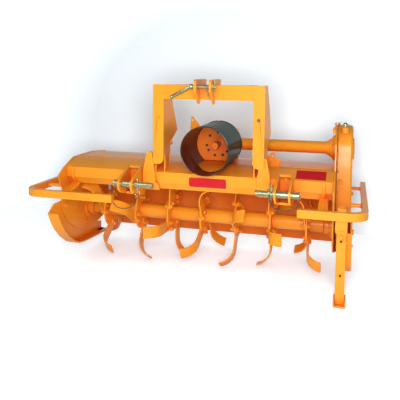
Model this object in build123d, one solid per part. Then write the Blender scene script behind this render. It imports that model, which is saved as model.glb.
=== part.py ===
# Rotary tiller for a three-point hitch, driven from the tractor's power take-off.
# Millimetres. X runs to the machine's right as seen from the tractor, Y to the rear, Z up.
# Shapes are drawn from the hitch centre (X 0) and the beam's front face (Y 0), with the floor at
# Z = FLOOR, and PLACE moves them so that the origin lies on the floor under the machine's middle.
from build123d import *
from math import sin, cos, radians, pi
import os

os.makedirs("parts", exist_ok=True)
FLOOR = -8
PLACE = Pos(97, -202, -FLOOR)


def plate_x(points, x0, x1):
    """Flat plate cut to (Y, Z) points, between x0 and x1."""
    face = make_face(Polyline(*points, close=True))
    return Pos(x0, 0, 0) * extrude(Plane.YZ * face, x1 - x0)


def plate_y(points, y0, y1):
    """Flat plate cut to (X, Z) points, between y0 and y1."""
    face = make_face(Polyline(*points, close=True))
    return Pos(0, y1, 0) * extrude(Plane.XZ * face, y1 - y0)


def block(x0, x1, y0, y1, z0, z1):
    return Pos((x0 + x1) / 2, (y0 + y1) / 2, (z0 + z1) / 2) * Box(x1 - x0, y1 - y0, z1 - z0)


def rod_x(r, x0, x1, y, z):
    return Pos((x0 + x1) / 2, y, z) * Rot(0, 90, 0) * Cylinder(r, x1 - x0)


def rod_y(r, y0, y1, x, z):
    return Pos(x, (y0 + y1) / 2, z) * Rot(90, 0, 0) * Cylinder(r, y1 - y0)


def rod_z(r, z0, z1, x, y):
    return Pos(x, y, (z0 + z1) / 2) * Cylinder(r, z1 - z0)


def flat_rod(r, start, end, flats=6):
    """Rod from start to end with a few flats, for wire, hardware and plain holes."""
    axis = Vector(*end) - Vector(*start)
    return extrude(Plane(origin=start, z_dir=axis) * RegularPolygon(r, flats), axis.length)


def mirror_pair(shape):
    """The shape and its mirror image across the machine's middle."""
    return shape + mirror(shape, Plane.YZ)


def sheet_x(points, t, x0, x1):
    """Folded sheet: the (Y, Z) points are its outer face, t its thickness inwards."""
    outer = [Vector(*p) for p in points]
    inner = []
    for i, p in enumerate(outer):
        a = (outer[i] - outer[i - 1]).normalized() if i > 0 else None
        b = (outer[i + 1] - outer[i]).normalized() if i + 1 < len(outer) else None
        a, b = a or b, b or a
        na, nb = Vector(a.Y, -a.X), Vector(b.Y, -b.X)
        m = (na + nb).normalized()
        inner.append(p + m * (t / m.dot(na)))
    pts = [(v.X, v.Y) for v in outer] + [(v.X, v.Y) for v in reversed(inner)]
    return plate_x(pts, x0, x1)


# ---- main sizes -------------------------------------------------------------------------
AXLE_Y, AXLE_Z = 249, 254          # rotor axis
REACH = AXLE_Z - FLOOR             # height of the rotor axis above the floor
PTO_Z = 656                        # input shaft
DRIVE_Y, DRIVE_Z = 300, 650        # cross shaft from gearbox to gear case
LEFT, RIGHT = -790, 612            # outer faces of the two side plates
PLATE = 8

nodes = {}

# ---- beam and hood ----------------------------------------------------------------------
beam_profile = [(34, 435), (0, 474), (0, 527), (80, 565), (130, 565), (130, 530), (42, 436)]
beam_inside = [(37, 445), (8, 478), (8, 522), (82, 557), (122, 557), (122, 536)]
nodes["front_beam"] = plate_x(beam_profile, LEFT + PLATE, RIGHT - PLATE) - plate_x(beam_inside, LEFT, RIGHT)

HINGE_Y, HINGE_Z = 524, 404
hood_points = [(130, 565), (290, 565), (418, 532), (500, 464), (545, 412)]
nodes["hood_deck"] = sheet_x(hood_points, 5, LEFT + PLATE, RIGHT - PLATE)

side_profile = [(-29, 525), (-83, 491), (-67, 447), (-43, 406), (-54, 348), (-49, 299), (-10, 244), (29, 209),
                (88, 167), (151, 144), (236, 129), (375, 134), (455, 158), (500, 215), (513, 300), (513, 418),
                (500, 464), (418, 535), (290, 568), (80, 568)]
side_top = [(80, 560), (100, 690), (170, 752), (230, 764), (380, 764), (430, 700), (430, 520)]
for name, x in (("left", LEFT), ("right", RIGHT - PLATE)):
    body = plate_x(side_profile, x, x + PLATE) + rod_x(20, x, x + PLATE, HINGE_Y, HINGE_Z)
    if name == "right":
        body += plate_x(side_top, x, x + PLATE) + block(x - 14, x, 180, 204, 738, 760)
    nodes[f"side_plate_{name}"] = body - rod_x(9.4, x - 1, x + PLATE + 1, HINGE_Y, HINGE_Z)

# ---- hitch tower ------------------------------------------------------------------------
TOWER_IN, TOWER_OUT, TOWER_TOP = 225, 281, 973
side_web = [(-18, TOWER_TOP), (61, TOWER_TOP), (199, 724), (82, 672), (79, 640), (60, 555.5), (0, 527), (0, 626), (-18, 626)]
post = make_face(Polyline((TOWER_IN, 573), (TOWER_OUT, 573), (TOWER_OUT, TOWER_TOP), (TOWER_IN, TOWER_TOP), close=True))
post = fillet(post.vertices().sort_by_distance((TOWER_IN, 573, 0))[0], (TOWER_OUT - TOWER_IN) * 0.54)
upright = Pos(0, -18, 0) * extrude(Plane.XZ * post, 10) - rod_y(8, -40, -10, (TOWER_IN + TOWER_OUT) / 2, 809)
for x in (TOWER_IN, TOWER_OUT - PLATE):
    upright += plate_x(side_web, x, x + PLATE)
nodes["hitch_upright_right"] = upright
nodes["hitch_upright_left"] = mirror(upright, Plane.YZ)
# Behind each upright a lug with a hole stands on the deck, for the tower's stay.
stay_outline = [(250, 565), (334, 565), (334, 604), (317, 612), (315, 630), (307, 639), (297, 639), (250, 588)]
stay_lug = plate_y(stay_outline, 122, 130)
nodes["stay_lugs"] = mirror_pair(stay_lug - flat_rod(7, (301, 120, 620), (301, 132, 620), 8))

BAR_HEIGHT, BAR_WALL = 72, 6
BAR_LOW = TOWER_TOP - BAR_HEIGHT
bar = block(-TOWER_IN, TOWER_IN, -28, 55, BAR_LOW, TOWER_TOP)
nodes["hitch_crossbar"] = bar - block(-TOWER_IN - 1, TOWER_IN + 1, BAR_WALL - 28, 55 - BAR_WALL,
                                      BAR_LOW + BAR_WALL, TOWER_TOP - BAR_WALL)

# Each lug's outline is in Y and in height above the crossbar's top.
lug = [(-28, -93), (-44, -88), (-108, -28), (-108, 17), (-96, 28), (86, 28), (97, 17), (55, -33), (55, 0), (-28, 0)]
lug = [(y, TOWER_TOP + z) for y, z in lug]
PIN_TOP, PIN_TOP_R = (-72, TOWER_TOP - 7), 9.5
lugs = plate_x(lug, -48, -36) + plate_x(lug, 26, 38)
nodes["top_link_lugs"] = lugs - rod_x(PIN_TOP_R + 0.15, -60, 60, *PIN_TOP)
nodes["top_link_pin"] = rod_x(PIN_TOP_R, -64, 54, *PIN_TOP)
# The pin's handle is a bar welded to a collar and bent down across the crossbar.
handle = flat_rod(9, (-70, *PIN_TOP), (-176, -72, PIN_TOP[1] - 54), 8)
nodes["top_pin_handle"] = handle + flat_rod(13, (-76, *PIN_TOP), (-64, *PIN_TOP), 12)

# ---- gussets in front of the beam -------------------------------------------------------
# Each is a thick plate in front of the upright's foot, with a flange folded under along the bevel.
gusset_left = [(-341, 474), (-341, 522), (-322, 622), (-312, 632), (-297, 632), (-289, 624), (-270, 474)]
gusset_right = [(247, 474), (247, 535), (264, 618), (270, 626), (288, 626), (294, 618), (310, 538), (310, 474)]
gusset_fold = [(-18, 474), (0, 474), (32, 437), (24, 428)]
nodes["front_gussets"] = (plate_y(gusset_left, -18, 0) + plate_x(gusset_fold, -341, -262)
                          + plate_y(gusset_right, -18, 0) + plate_x(gusset_fold, 247, 310))

# ---- lower hitch ------------------------------------------------------------------------
PIN_LOW = (-115, 480)
cheek = [(0, 553), (-20, 553), (-125, 513), (-149, 498), (-155, 480), (-146, 456), (-122, 437), (-77, 424), (20, 398), (34, 435), (0, 474)]
brackets = None
for s in (-1, 1):
    for x in (346, 412):
        x0, x1 = sorted((s * x, s * (x + 10)))
        c = plate_x(cheek, x0, x1) - rod_x(16.15, x0 - 5, x1 + 5, *PIN_LOW)
        brackets = c if brackets is None else brackets + c
    x0, x1 = sorted((s * 346, s * 422))
    brackets += plate_x([(0, 553), (-20, 553), (-20, 545), (0, 545)], x0, x1)
    brackets += plate_x([(-60, 420), (20, 398), (22, 406), (-60, 428)], x0, x1)
nodes["lower_hitch_brackets"] = brackets
# Each pin is 32 mm thick in the cheeks and turned down to 28 mm at its free inner end.
pins = rod_x(16, -444, -320, *PIN_LOW) + rod_x(14, -320, -249, *PIN_LOW)
pins += rod_x(16, 320, 452, *PIN_LOW) + rod_x(14, 257, 320, *PIN_LOW)
pins += flat_rod(20, (-451, *PIN_LOW), (-444, *PIN_LOW), 12) + flat_rod(20, (452, *PIN_LOW), (459, *PIN_LOW), 12)

for x in (-262, 262):
    pins -= flat_rod(6, (x, PIN_LOW[0], 460), (x, PIN_LOW[0], 500))
# Each pin is held by a linch pin, which a short wire lanyard ties to the pin's outer head.
for x in (-454.5, 462.5):
    pins += flat_rod(3.5, (x, -124, 468), (x, -124, 484))
nodes["lower_hitch_pins"] = pins
ring = extrude(Plane.XZ * (RegularPolygon(15.2, 12) - RegularPolygon(10.8, 12)), 2.2, both=True)
linch = flat_rod(5, (-330, -115, 446), (-330, -115, 506)) + Pos(-330, -115, 437) * ring
linch += flat_rod(3.5, (-336, -115, 413), (-336, -115, 426))
linch += flat_rod(5, (330, -115, 452), (330, -115, 520)) + flat_rod(3, (330, -135, 513), (330, -112, 513))
linch += Pos(330, -134, 501) * ring + flat_rod(3.5, (324, -134, 478), (324, -134, 491))
nodes["linch_pins"] = linch - rod_x(16.2, -345, -315, *PIN_LOW) - rod_x(16.2, 315, 345, *PIN_LOW)

LANYARDS = {
    "left": [(-454.5, -124, 468), (-455, -124, 448), (-464, -124, 424), (-464, -123, 394), (-446, -122, 366),
             (-417, -120, 355), (-382, -118, 358), (-350, -116, 374), (-337, -115, 396), (-336, -115, 413)],
    "right": [(462.5, -124, 468), (461, -124, 448), (446, -126, 424), (414, -128, 410), (378, -130, 407),
              (346, -132, 418), (326, -134, 442), (324, -134, 462), (324, -134, 478)],
}


def wire(points, r):
    """Wire through the points, in short straight runs with six flats."""
    path = Polyline(*points)
    return sweep(Plane(path @ 0, z_dir=path % 0) * RegularPolygon(r, 6), path, transition=Transition.RIGHT)


for name, points in LANYARDS.items():
    nodes[f"lanyard_{name}"] = wire(points, 2)

# ---- gearbox and drive ------------------------------------------------------------------
# The box's front is a round face plate with a flat foot, which the shield slides over.
FACE_Y, BOX_Y = 205, 217
foot = plate_x([(240, 565), (290, 565), (357, 547.8), (357, 600), (240, 600)], -80, 80)
box = block(-80, 80, BOX_Y, 357, 590, 728) + foot + rod_x(46, -130, -80, DRIVE_Y, DRIVE_Z)
# A lifting lug stands on the closed left end of the gearbox.
lifting_lug = plate_y([(-188, 650), (-179, 788), (-173, 793), (-166, 788), (-112, 722), (-100, 650)], 296, 304)
box += lifting_lug - flat_rod(6, (-172, 290, 770), (-172, 310, 770), 8)
face_plate = rod_y(117, FACE_Y, BOX_Y, 0, PTO_Z) - block(-120, 120, FACE_Y - 1, BOX_Y + 1, 530, 567)
nodes["gearbox"] = box + face_plate - rod_y(24.2, 200, 285, 0, PTO_Z)
nodes["pto_shaft"] = rod_y(17.5, 130, FACE_Y, 0, PTO_Z) + rod_y(24, FACE_Y, 285, 0, PTO_Z)
under_shield = plate_x(beam_profile, -200, 200) + block(-200, 200, 129, 300, 400, 565)
nodes["pto_shield"] = rod_y(121, -76, 236, 0, PTO_Z) - rod_y(117, -80, 240, 0, PTO_Z) - under_shield
# The tube flares at its right end to a bolted flange.
flare = Pos(0, DRIVE_Y, DRIVE_Z) * Rot(0, 90, 0)
tube = rod_x(32, 80, 604, DRIVE_Y, DRIVE_Z) + Pos(572, 0, 0) * flare * Cone(32, 56, 40)
nodes["drive_tube"] = tube + flat_rod(66, (592, DRIVE_Y, DRIVE_Z), (604, DRIVE_Y, DRIVE_Z), 16)


def case_outline(r):
    """Two half circles round the two shafts, joined by straight sides."""
    top = [(DRIVE_Y + r * cos(radians(a)), DRIVE_Z + r * sin(radians(a))) for a in range(0, 181, 15)]
    return top + [(AXLE_Y + r * cos(radians(a)), AXLE_Z + r * sin(radians(a))) for a in range(180, 361, 15)]


# The case is a pan bolted over the side plate by its flange, with a gear on each shaft.
case = plate_x(case_outline(122), RIGHT, RIGHT + 75)
case = chamfer(case.edges().group_by(Axis.X)[-1], 9) - plate_x(case_outline(115), RIGHT - 1, RIGHT + 68)
case += plate_x(case_outline(132), RIGHT, RIGHT + 5) - plate_x(case_outline(116), RIGHT - 1, RIGHT + 6)
for y, z in ((DRIVE_Y, DRIVE_Z), (AXLE_Y, AXLE_Z)):
    case += plate_x([(y + 100 * cos(radians(a)), z + 100 * sin(radians(a))) for a in range(0, 360, 20)], RIGHT + 36, RIGHT + 70)
# Filler neck with its breather cap.
neck = Pos(648, 222, 752) * Cone(22, 15, 32)
nodes["gear_case"] = case + neck + flat_rod(9, (648, 222, 768), (648, 222, 788), 8)
bearings = None
for outer, inward in ((LEFT + PLATE, 1), (RIGHT - PLATE, -1)):
    flange = flat_rod(66, (outer, AXLE_Y, AXLE_Z), (outer + inward * 16, AXLE_Y, AXLE_Z), 8)
    housing = flange + rod_x(45, *sorted((outer, outer + inward * 42)), AXLE_Y, AXLE_Z)
    bearings = housing if bearings is None else bearings + housing
nodes["rotor_bearings"] = bearings - rod_x(28.3, LEFT, RIGHT, AXLE_Y, AXLE_Z)

# ---- rotor ------------------------------------------------------------------------------
FLANGES = [-636 + 185 * i for i in range(7)]
TUBE_END = 58                      # gap from each side plate's outer face to the tube
nodes["rotor_journals"] = (rod_x(28, LEFT + PLATE + 1, LEFT + 110, AXLE_Y, AXLE_Z)
                           + rod_x(28, RIGHT - 110, RIGHT - PLATE - 1, AXLE_Y, AXLE_Z))
reel = rod_x(38, LEFT + TUBE_END, RIGHT - TUBE_END, AXLE_Y, AXLE_Z)
for x in FLANGES:
    reel += flat_rod(102, (x - 5, AXLE_Y, AXLE_Z), (x + 5, AXLE_Y, AXLE_Z), 24)
reel -= rod_x(28, LEFT, RIGHT, AXLE_Y, AXLE_Z)


# Blade: flat strip bolted to a flange, then bent through BEND round a wide radius to one side. The
# strip stands off the radius by OFFSET, so that its leading edge sweeps wider than its trailing edge.
STRIP, THICK, OFFSET, BEND_R, BEND = 62, 8, 60, 90, 78
TIP_R = REACH + 4                  # no tip points straight down at rest, so they sweep a little wider
ROOT, FOLDS = 36, 5                # start of the strip on the flange, and steps of the bend
TIP_Z = (TIP_R ** 2 - (OFFSET + STRIP / 2) ** 2) ** 0.5


def tine(side):
    """One bent blade, pointing up from the axis, its end turned towards side (+1 or -1)."""
    wide, tight = BEND_R + THICK / 2, BEND_R - THICK / 2
    z0 = TIP_Z - wide * sin(radians(BEND))

    def on_arc(r, angle):
        return wide - r * cos(radians(angle)), z0 + r * sin(radians(angle))

    turns = [BEND * k / FOLDS for k in range(FOLDS + 1)]
    outer = [on_arc(wide, turn) for turn in turns]
    inner = [on_arc(tight, turn) for turn in reversed(turns)]
    strip = make_face(Polyline((0, ROOT), *outer, *inner, (THICK, ROOT), close=True))
    blade = Pos(0, -OFFSET, 0) * extrude(Plane.XZ * strip, STRIP / 2, both=True)
    return blade if side > 0 else mirror(blade, Plane.YZ)


# Each flange carries four blades, turned alternately to the left and to the right. The first blade's
# angle steps round from flange to flange, so that the tips meet the soil one after another.
blades = {1: tine(1), -1: tine(-1)}
lag = 14
START = [(47, -1), (72, -1), (102, -1), (130, -1), (72, 1), (96, 1), (129, 1)]
for x, (start, first) in zip(FLANGES, START):
    for k in range(4):
        side = first if k % 2 == 0 else -first
        reel += Pos(x + side * 5, AXLE_Y, AXLE_Z) * Rot(start + 90 * k - lag, 0, 0) * blades[side]
nodes["rotor_reel"] = reel

# ---- rear board -------------------------------------------------------------------------
board = plate_x([(522, 404), (526, 404), (537, 240), (546, 80), (542, 78), (533, 240)], LEFT + PLATE + 6, RIGHT - PLATE - 6)
nodes["rear_board"] = board + rod_x(9, LEFT - 5, RIGHT + 5, HINGE_Y, HINGE_Z)

# ---- skids ------------------------------------------------------------------------------
# Curved runner with an upright web, bolted to the outside of each side plate.
runner = [(420, 66), (286, 72), (119, 83), (52, 93), (0, 116), (-60, 160), (-110, 210), (-142, 255), (-172, 310)]
runner_short = [(420, 66), (286, 72), (119, 83), (52, 93), (8, 114), (-26, 150), (-46, 200), (-56, 255), (-60, 310)]
web_top = [(-118, 348), (-30, 348), (180, 300), (260, 140), (420, 118)]
web_top_short = [(-24, 348), (60, 348), (180, 300), (260, 140), (420, 118)]
nodes["skids"] = (sheet_x(runner, 8, LEFT - 8, LEFT + 50) + plate_x(runner + web_top, LEFT - 8, LEFT)
                  + sheet_x(runner_short, 8, RIGHT + 20, RIGHT + 80) + plate_x(runner_short + web_top_short, RIGHT + 75, RIGHT + 83))

# ---- side guards ------------------------------------------------------------------------
def guard(x_in, x_out, s):
    """Rectangular tube: front bar from x_in outwards, corner cut across, then back."""
    w, r = 28, 88
    ell = make_face(Polyline((x_in, -157), (x_out, -157), (x_out, 575), (x_out - s * w, 575),
                             (x_out - s * w, -157 + w), (x_in, -157 + w), close=True))
    corners = ell.vertices().sort_by_distance((x_out, -157, 0))
    ell = fillet(corners[0], r)
    ell = fillet(ell.vertices().sort_by_distance((x_out - s * w, -157 + w, 0))[0], r - w)
    return Pos(0, 0, 388) * extrude(ell, 39)


nodes["guard_left"] = guard(-452, -956, -1)
nodes["guard_right"] = guard(453, 762, 1)
# A hanger plate runs forward from under the beam to each guard's front bar, held by a strap that
# wraps the beam's face. Round stays carry the side bars.
hanger = [(26, 444.1), (34, 435), (34, 426), (-129, 388), (-129, 397), (16, 434)]
strap = [(0, 527), (-5, 527), (-5, 472), (26, 436.5), (31, 438.4), (0, 474)]
mounts = None
for x in (-744, 561):
    piece = plate_x(hanger, x - 22, x + 22) - flat_rod(7, (x, -30, 400), (x, -30, 440), 8) + plate_x(strap, x - 7, x + 7)
    mounts = piece if mounts is None else mounts + piece
for x0, x1, y, z in ((-928, LEFT, 60, 407), (-928, LEFT, 430, 407), (RIGHT + 75, 734, 85, 407), (RIGHT, 734, 475, 407)):
    mounts += flat_rod(9.5, (x0, y, z), (x1, y, z), 8)
nodes["guard_mounts"] = mounts

# ---- parking leg ------------------------------------------------------------------------
LEG_X, LEG_Y = 648, -104
nodes["leg_sleeve"] = block(LEG_X - 25, LEG_X + 25, LEG_Y - 25, LEG_Y + 25, 325, 428) - block(LEG_X - 21.5, LEG_X + 21.5, LEG_Y - 21.5, LEG_Y + 21.5, 320, 440)
leg = block(LEG_X - 21, LEG_X + 21, LEG_Y - 21, LEG_Y + 21, FLOOR + 8, 440) - block(LEG_X - 17, LEG_X + 17, LEG_Y - 17, LEG_Y + 17, FLOOR + 7, 446)
for z in (132, 289):
    leg -= flat_rod(6.5, (LEG_X, LEG_Y - 30, z), (LEG_X, LEG_Y + 30, z))
nodes["parking_leg"] = leg
foot = [(-27, 30), (-27, 5), (-22, 0), (22, 0), (27, 5), (27, 30), (21, 30), (21, 8), (-21, 8), (-21, 30)]
nodes["leg_foot"] = plate_y([(LEG_X + x, FLOOR + z) for x, z in foot], LEG_Y - 45, LEG_Y + 45)

for name, shape in nodes.items():
    export_step(PLACE * shape, f"parts/{name}.step")
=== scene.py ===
import bpy
import bmesh
from math import sin, cos, pi, radians
from mathutils import Vector, Matrix


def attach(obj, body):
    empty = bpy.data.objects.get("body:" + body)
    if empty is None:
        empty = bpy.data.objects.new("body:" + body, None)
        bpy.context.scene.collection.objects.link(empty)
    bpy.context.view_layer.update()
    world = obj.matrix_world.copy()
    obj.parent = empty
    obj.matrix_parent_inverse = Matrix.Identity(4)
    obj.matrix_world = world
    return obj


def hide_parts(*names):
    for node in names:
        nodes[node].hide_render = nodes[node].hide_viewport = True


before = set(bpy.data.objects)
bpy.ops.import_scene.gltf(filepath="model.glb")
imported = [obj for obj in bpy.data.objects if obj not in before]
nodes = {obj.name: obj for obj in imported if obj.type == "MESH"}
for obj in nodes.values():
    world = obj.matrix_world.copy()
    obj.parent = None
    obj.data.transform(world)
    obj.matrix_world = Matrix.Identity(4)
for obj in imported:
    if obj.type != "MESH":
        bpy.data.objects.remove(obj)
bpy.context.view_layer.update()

# ---- Camera --------------------------------------------------------------------------------
# Stands in front of the tiller on its gear-case side, a little above the hitch tower, and looks
# slightly down. The lens is shifted down by a fifth of the picture, so that the posts stay upright.
camera = bpy.data.objects.new("camera", bpy.data.cameras.new("camera"))
bpy.context.collection.objects.link(camera)
turn, dip, roll = 0.2742, 0.0909, 0.0086
ahead = Vector((-sin(turn) * cos(dip), cos(turn) * cos(dip), -sin(dip)))
across = Vector((cos(turn), sin(turn), 0))
upright = across.cross(ahead)
right_hand = across * cos(roll) + upright * sin(roll)
up_hand = upright * cos(roll) - across * sin(roll)
stand = Vector((0.7651, -2.7341, 1.0476))
facing = Matrix((right_hand, up_hand, -ahead)).transposed().to_4x4()
camera.matrix_world = Matrix.Translation(stand) @ facing
camera.data.lens = 48.17
camera.data.sensor_width = 36
camera.data.shift_y = -0.20
camera.data.clip_end = 60
bpy.context.scene.camera = camera

# ---- Wire lanyards -------------------------------------------------------------------------
# Each lower hitch pin has a short dark plastic-covered wire from its outer head to its linch pin,
# so that the linch pin isn't lost in the field. The wire is springy and hangs in a loop.
covered_wire = bpy.data.materials.new("covered_wire")
covered_wire.use_nodes = True
tree = covered_wire.node_tree
shader = tree.nodes["Principled BSDF"]
shader.inputs["Roughness"].default_value = 0.38
where = tree.nodes.new("ShaderNodeTexCoord")
scuff = tree.nodes.new("ShaderNodeTexNoise")
scuff.inputs["Scale"].default_value = 90.0
scuff_tint = tree.nodes.new("ShaderNodeMix")
scuff_tint.data_type = "RGBA"
scuff_tint.inputs[6].default_value = (0.035, 0.037, 0.018, 1)
scuff_tint.inputs[7].default_value = (0.105, 0.105, 0.060, 1)
tree.links.new(where.outputs["Object"], scuff.inputs["Vector"])
tree.links.new(scuff.outputs["Fac"], scuff_tint.inputs["Factor"])
tree.links.new(scuff_tint.outputs[2], shader.inputs["Base Color"])
LANYARDS = {
    "left": [(-0.3575, -0.326, 0.476), (-0.358, -0.326, 0.456), (-0.367, -0.326, 0.432),
             (-0.367, -0.325, 0.402), (-0.349, -0.324, 0.374), (-0.320, -0.322, 0.363),
             (-0.285, -0.320, 0.366), (-0.253, -0.318, 0.382), (-0.240, -0.317, 0.404),
             (-0.239, -0.317, 0.421)],
    "right": [(0.5595, -0.326, 0.476), (0.558, -0.326, 0.456), (0.543, -0.328, 0.432),
              (0.511, -0.330, 0.418), (0.475, -0.332, 0.415), (0.443, -0.334, 0.426),
              (0.423, -0.336, 0.450), (0.421, -0.336, 0.470), (0.421, -0.336, 0.486)],
}
WIRE_DIAMETER = 0.0044
for side, points in LANYARDS.items():
    curve = bpy.data.curves.new(f"lanyard_wire_{side}", "CURVE")
    curve.dimensions = "3D"
    curve.bevel_depth = WIRE_DIAMETER / 2
    curve.bevel_resolution = 3
    line = curve.splines.new("NURBS")
    line.points.add(len(points) - 1)
    for knot, xyz in zip(line.points, points):
        knot.co = (*xyz, 1)
    line.order_u = 3
    line.use_endpoint_u = True
    line.resolution_u = 10
    curve.use_fill_caps = True
    wire = bpy.data.objects.new(f"lanyard_wire_{side}", curve)
    bpy.context.collection.objects.link(wire)
    curve.materials.append(covered_wire)
    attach(wire, "frame")
    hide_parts(f"lanyard_{side}")

# ---- Beam, deck and side plates ------------------------------------------------------------
# Folded and flat steel plate, welded into one body, blasted and sprayed with glossy orange
# two-pack enamel with a faint orange-peel skin, and painted shade of a darker red in its corners.
def new_finish(name):
    """A new material with its node tree and its main shader."""
    material = bpy.data.materials.new(name)
    material.use_nodes = True
    return material, material.node_tree, material.node_tree.nodes["Principled BSDF"]


def cloudy(tree, scale, low, high, detail=3.0):
    """Noise over the object's own space, from low to high, as a socket."""
    where = tree.nodes.new("ShaderNodeTexCoord")
    cloud = tree.nodes.new("ShaderNodeTexNoise")
    cloud.inputs["Scale"].default_value = scale
    cloud.inputs["Detail"].default_value = detail
    spread = tree.nodes.new("ShaderNodeMapRange")
    spread.inputs["From Min"].default_value = 0.3
    spread.inputs["From Max"].default_value = 0.7
    spread.inputs["To Min"].default_value = low
    spread.inputs["To Max"].default_value = high
    tree.links.new(where.outputs["Object"], cloud.inputs["Vector"])
    tree.links.new(cloud.outputs["Fac"], spread.inputs["Value"])
    return spread.outputs["Result"]


def two_tone(tree, factor, first, second):
    """Colour that goes from first to second with the factor; either may be a socket."""
    mix = tree.nodes.new("ShaderNodeMix")
    mix.data_type = "RGBA"
    tree.links.new(factor, mix.inputs["Factor"])
    for socket, colour in ((mix.inputs[6], first), (mix.inputs[7], second)):
        if isinstance(colour, tuple):
            socket.default_value = (*colour, 1)
        else:
            tree.links.new(colour, socket)
    return mix.outputs[2]


def coloured(tree, shader, factor, first, second):
    """Two-tone base colour for the shader."""
    tree.links.new(two_tone(tree, factor, first, second), shader.inputs["Base Color"])


def grained(tree, shader, height, strength, distance):
    """Bump from a height socket onto the shader."""
    bump = tree.nodes.new("ShaderNodeBump")
    bump.inputs["Strength"].default_value = strength
    bump.inputs["Distance"].default_value = distance
    tree.links.new(height, bump.inputs["Height"])
    tree.links.new(bump.outputs["Normal"], shader.inputs["Normal"])


# The third colour is the darker red of the painted shade in corners and creases.
ENAMEL, ENAMEL_PALE, ENAMEL_SHADE = (0.92, 0.335, 0.018), (0.94, 0.370, 0.026), (0.80, 0.105, 0.010)
enamel, tree, shader = new_finish("orange_enamel")
shader.inputs["Specular IOR Level"].default_value = 0.20
shader.inputs["Coat Weight"].default_value = 0.14
shader.inputs["Coat Roughness"].default_value = 0.07
tree.links.new(cloudy(tree, 3.0, 0.27, 0.36), shader.inputs["Roughness"])
# Painted shade: ambient occlusion turns the enamel a darker red in corners, creases and between parts.
corner = tree.nodes.new("ShaderNodeAmbientOcclusion")
corner.inputs["Distance"].default_value = 0.24
corner.samples = 6
depth = tree.nodes.new("ShaderNodeMapRange")
depth.inputs["From Min"].default_value = 0.05
depth.inputs["From Max"].default_value = 0.62
tree.links.new(corner.outputs["AO"], depth.inputs["Value"])
sprayed = two_tone(tree, cloudy(tree, 5.0, 0.0, 1.0), ENAMEL, ENAMEL_PALE)
coloured(tree, shader, depth.outputs["Result"], ENAMEL_SHADE, sprayed)
grained(tree, shader, cloudy(tree, 240.0, 0.0, 1.0, 2.0), 0.035, 0.001)


def shaded_copy(name, shade_colour):
    """Copy of the enamel in darker colours for the dim inner faces: painted shade."""
    inner = enamel.copy()
    inner.name = name
    for node in inner.node_tree.nodes:
        if node.bl_idname == "ShaderNodeMix" and not node.inputs[7].is_linked:
            node.inputs[6].default_value = (*shade_colour, 1)
            node.inputs[7].default_value = (shade_colour[0], shade_colour[1] * 1.2, shade_colour[2], 1)
    return inner


enamel_shaded = shaded_copy("orange_enamel_shaded", (0.84, 0.175, 0.010))


def joined_corners():
    """Modifier group that joins the plates' corners, so that their edges can be rounded."""
    group = bpy.data.node_groups.new("joined_corners", "GeometryNodeTree")
    group.interface.new_socket("Geometry", in_out="INPUT", socket_type="NodeSocketGeometry")
    group.interface.new_socket("Geometry", in_out="OUTPUT", socket_type="NodeSocketGeometry")
    entry, leave = group.nodes.new("NodeGroupInput"), group.nodes.new("NodeGroupOutput")
    merge = group.nodes.new("GeometryNodeMergeByDistance")
    merge.inputs["Distance"].default_value = 0.00002
    plain = group.nodes.new("GeometryNodeRemoveAttribute")
    plain.inputs["Name"].default_value = "custom_normal"
    soft = group.nodes.new("GeometryNodeSetShadeSmooth")
    for step, after in ((entry, merge), (merge, plain), (plain, soft), (soft, leave)):
        group.links.new(step.outputs[0], after.inputs[0])
    return group


CORNERS = joined_corners()


def finish_plates(names, material, edge=1.5, sharper_than=32):
    """Gives CAD nodes their finish and rounds each edge sharper than that angle, in mm and degrees."""
    for n in names:
        piece = nodes[n]
        piece.data.materials.clear()
        piece.data.materials.append(material)
        joined = piece.modifiers.new("joined", "NODES")
        joined.node_group = CORNERS
        rounded = piece.modifiers.new("rounded", "BEVEL")
        rounded.width = edge / 1000
        rounded.segments = 2
        rounded.limit_method = "ANGLE"
        rounded.angle_limit = radians(sharper_than)
        rounded.use_clamp_overlap = False
        rounded.harden_normals = True


finish_plates(["front_beam", "side_plate_left", "side_plate_right"], enamel, 1.8)


def spot(x, y, z):
    """A place in millimetres from the hitch centre, as a point of the scene in metres."""
    return Vector((x + 97, y - 202, z + 8)) / 1000


def hand_over(name, bm, material, body="frame"):
    """Makes a piece from the drawn mesh, with its finish, riding on its body."""
    bmesh.ops.recalc_face_normals(bm, faces=bm.faces)
    mesh = bpy.data.meshes.new(name)
    bm.to_mesh(mesh)
    bm.free()
    mesh.materials.append(material)
    piece = bpy.data.objects.new(name, mesh)
    bpy.context.collection.objects.link(piece)
    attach(piece, body)
    return piece


def skin_rings(bm, rings, closed=False, smooth=True):
    """Joins rings of points into a skin; the first and last are capped unless it closes on itself."""
    count = len(rings[0])
    for low, high in zip(rings, rings[1:] + ([rings[0]] if closed else [])):
        for k in range(count):
            face = bm.faces.new((low[k], low[(k + 1) % count], high[(k + 1) % count], high[k]))
            face.smooth = smooth
    if not closed:
        bm.faces.new(rings[0][::-1])
        bm.faces.new(rings[-1])


def circle(bm, centre, a, b, r, sides):
    """Ring of points at r mm round the centre, in the plane of the directions a and b."""
    turns = [2 * pi * k / sides for k in range(sides)]
    return [bm.verts.new(centre + (a * cos(t) + b * sin(t)) * r / 1000) for t in turns]


def ripple(i):
    """Share of a weld bead's radius at its i-th step, so that it looks laid by hand."""
    return 0.86 + 0.24 * abs(sin(i * 1.9))


def bead(bm, start, end, radius=2.6):
    """Weld bead from start to end, laid in overlapping ripples, thin at both ends."""
    run = end - start
    steps = max(3, int(run.length / 0.0035))
    a = run.orthogonal().normalized()
    b = run.normalized().cross(a)
    rings = []
    for i in range(steps + 1):
        r = radius * ripple(i) * (0.45 if i in (0, steps) else 1)
        rings.append(circle(bm, start + run * i / steps, a, b, r, 6))
    skin_rings(bm, rings)


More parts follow.
